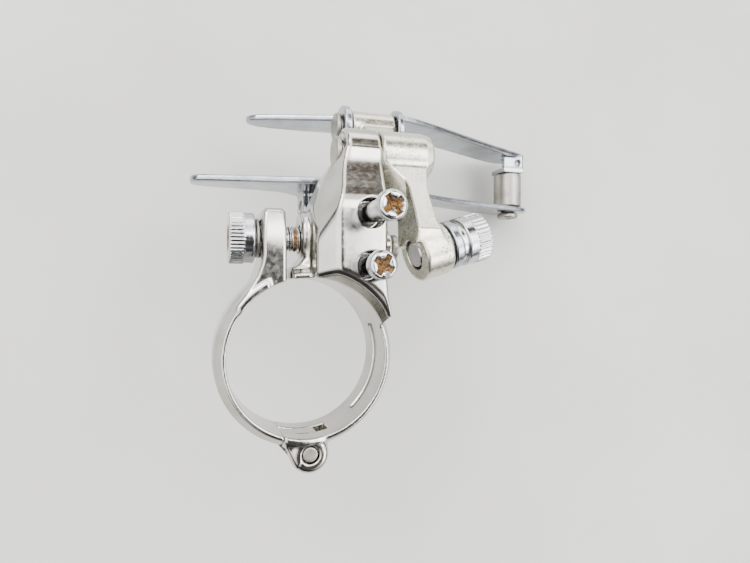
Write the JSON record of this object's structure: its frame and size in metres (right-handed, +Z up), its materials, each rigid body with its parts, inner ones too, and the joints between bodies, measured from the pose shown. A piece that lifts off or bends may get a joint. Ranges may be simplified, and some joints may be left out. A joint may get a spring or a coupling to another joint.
{
  "type": "front derailleur",
  "caption": "Clamp-on bicycle front derailleur with a hinged seat-tube band, parallelogram links, cable arm and steel chain cage.",
  "frame": {"origin": "centre of the seat-tube band's bore, at the middle of the band's height", "axes": "+Z up along the seat tube, +Y outboard to the drive side, +X rearward"},
  "size_m": [0.0937, 0.0726, 0.0683],
  "materials": {
    "polished_aluminium": "polished",
    "lacquered_aluminium": "gloss lacquer",
    "chrome_plate": "bright chrome",
    "zinc_steel": "dull brushed",
    "spring_steel": "drawn wire"
  },
  "bodies": {
    "base": {"body_casting": "polished_aluminium", "band_hinge_pin": "zinc_steel", "pivot_pin_a": "zinc_steel", "pivot_pin_b": "zinc_steel", "pivot_clip_b": "spring_steel", "return_spring": "spring_steel"},
    "clamp_arm": {"clamp_arm": "polished_aluminium"},
    "clamp_washer": {"clamp_washer": "zinc_steel"},
    "clamp_bolt": {"clamp_bolt": "chrome_plate"},
    "limit_screw_high": {"limit_screw_high": "chrome_plate"},
    "limit_screw_low": {"limit_screw_low": "chrome_plate"},
    "outer_link": {"outer_link": "lacquered_aluminium"},
    "cable_washer": {"cable_washer": "chrome_plate"},
    "cable_bolt": {"cable_bolt": "chrome_plate"},
    "inner_link": {"inner_link": "lacquered_aluminium"},
    "cage": {"cage_outer_plate": "chrome_plate", "cage_inner_plate": "chrome_plate", "bridge_rivet_front": "zinc_steel", "bridge_rivet_rear": "zinc_steel", "tail_spacer": "zinc_steel", "tail_screw": "zinc_steel", "pivot_pin_c": "zinc_steel", "pivot_pin_d": "zinc_steel"}
  },
  "joints": [
    {"name": "outer_link_swing", "type": "hinge", "parent": "base", "child": "outer_link", "pos_m": [0, 0.0378, 0.003], "axis": [1, 0, 0], "range_deg": [0, 32], "stiffness_Nm_per_rad": 0.08, "springref_deg": -57.3},
    {"name": "inner_link_swing", "type": "hinge", "parent": "base", "child": "inner_link", "pos_m": [0, 0.021, -0.0085], "axis": [1, 0, 0], "range_deg": [0, 32]},
    {"name": "cage_swing", "type": "hinge", "parent": "outer_link", "child": "cage", "pos_m": [0, 0.0471, -0.013], "axis": [1, 0, 0], "range_deg": [-32, 0]},
    {"name": "clamp_bolt_travel", "type": "slide", "parent": "base", "child": "clamp_washer", "axis": [-1, 0, 0], "range_m": [0, 0.003]},
    {"name": "clamp_bolt_turn", "type": "hinge", "parent": "clamp_washer", "child": "clamp_bolt", "pos_m": [-0.009, 0.0216, 0], "axis": [-1, 0, 0], "range_deg": [0, 1351]},
    {"name": "clamp_arm_open", "type": "hinge", "parent": "base", "child": "clamp_arm", "pos_m": [0.00035, -0.0173, 0], "axis": [0, 0, 1], "range_deg": [0, 4.5]},
    {"name": "limit_screw_high_turn", "type": "hinge", "parent": "base", "child": "limit_screw_high", "pos_m": [0.0103, 0.0258, 0.011], "axis": [0, 0, 1], "range_deg": [-360, 360]},
    {"name": "limit_screw_low_turn", "type": "hinge", "parent": "base", "child": "limit_screw_low", "pos_m": [0.0103, 0.0164, 0.011], "axis": [0, 0, 1], "range_deg": [-360, 360]},
    {"name": "cable_washer_travel", "type": "slide", "parent": "outer_link", "child": "cable_washer", "axis": [0.9589, 0.27, -0.087], "range_m": [0, 0.0024]},
    {"name": "cable_bolt_turn", "type": "hinge", "parent": "cable_washer", "child": "cable_bolt", "pos_m": [0.02769, 0.0211, 0.01013], "axis": [0.9589, 0.27, -0.087], "range_deg": [0, 1081]}
  ],
  "couplings": [
    {"joint": "inner_link_swing", "follows": "outer_link_swing", "ratio": 1},
    {"joint": "cage_swing", "follows": "outer_link_swing", "ratio": -1},
    {"joint": "clamp_bolt_turn", "follows": "clamp_bolt_travel", "rad_per_m": 7854},
    {"joint": "clamp_arm_open", "follows": "clamp_bolt_travel", "rad_per_m": 25},
    {"joint": "cable_bolt_turn", "follows": "cable_washer_travel", "rad_per_m": 7854}
  ]
}
